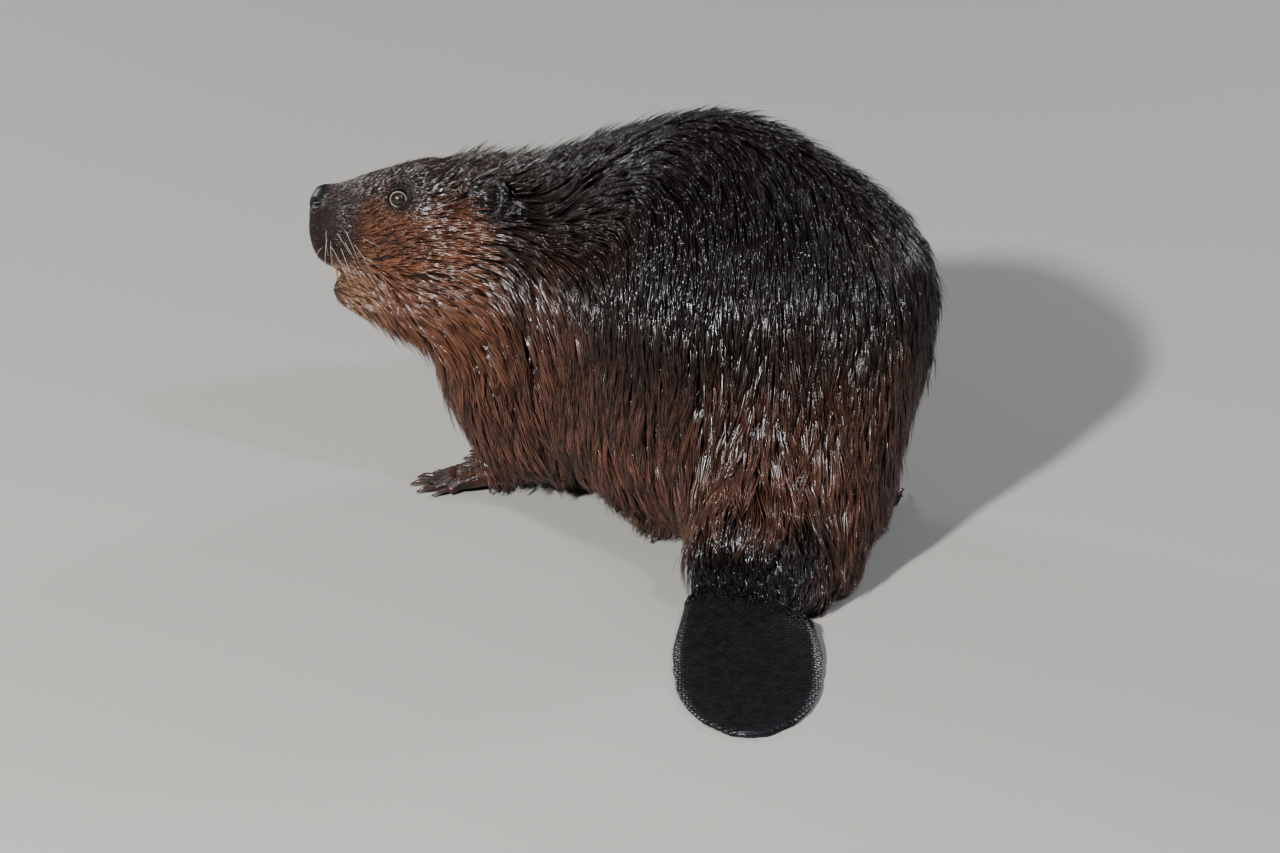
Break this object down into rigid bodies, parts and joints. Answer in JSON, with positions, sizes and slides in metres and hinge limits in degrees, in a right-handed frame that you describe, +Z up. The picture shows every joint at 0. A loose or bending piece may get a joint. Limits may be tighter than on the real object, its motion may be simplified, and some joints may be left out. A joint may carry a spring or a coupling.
{
  "type": "beaver (north american beaver, castor canadensis), still life-size animal",
  "caption": "A life-size beaver with a wet brown coat, standing hunched with its head turned to its left and its flat scaly tail laid out behind.",
  "frame": {"origin": "on the ground, under the middle of the bounding box", "axes": "+Z up; +Y the way the hindquarters face, with the tail trailing to -Y; -X the way the turned head faces"},
  "size_m": [0.4902, 0.538, 0.323],
  "materials": {
    "back_fur": "wet dark brown guard hair",
    "flank_fur": "wet reddish-brown guard hair",
    "face_fur": "short damp orange-brown fur",
    "bare_skin": "wet black-brown skin",
    "tail_skin": "wet black scaly skin",
    "eye": "dark wet eye",
    "enamel": "orange tooth enamel",
    "claw": "dark horn"
  },
  "bodies": {
    "root": {"trunk": "back_fur", "neck": "flank_fur", "tail_root": "flank_fur", "head": "face_fur", "jaw": "face_fur", "hindleg_left": "flank_fur", "hindleg_right": "flank_fur", "foreleg_left": "flank_fur", "foreleg_right": "flank_fur", "tail": "tail_skin", "ear_left": "bare_skin", "ear_right": "bare_skin", "hindfoot_left": "bare_skin", "hindfoot_right": "bare_skin", "forefoot_left": "bare_skin", "forefoot_right": "bare_skin", "eye_left": "eye", "eye_right": "eye", "incisors_upper": "enamel", "incisors_lower": "enamel", "claw_hindfoot_left_1": "claw", "claw_hindfoot_left_2": "claw", "claw_hindfoot_left_3": "claw", "claw_hindfoot_left_4": "claw", "claw_hindfoot_left_5": "claw", "claw_hindfoot_right_1": "claw", "claw_hindfoot_right_2": "claw", "claw_hindfoot_right_3": "claw", "claw_hindfoot_right_4": "claw", "claw_hindfoot_right_5": "claw", "claw_forefoot_left_1": "claw", "claw_forefoot_left_2": "claw", "claw_forefoot_left_3": "claw", "claw_forefoot_left_4": "claw", "claw_forefoot_left_5": "claw", "claw_forefoot_right_1": "claw", "claw_forefoot_right_2": "claw", "claw_forefoot_right_3": "claw", "claw_forefoot_right_4": "claw", "claw_forefoot_right_5": "claw"}
  },
  "joints": []
}
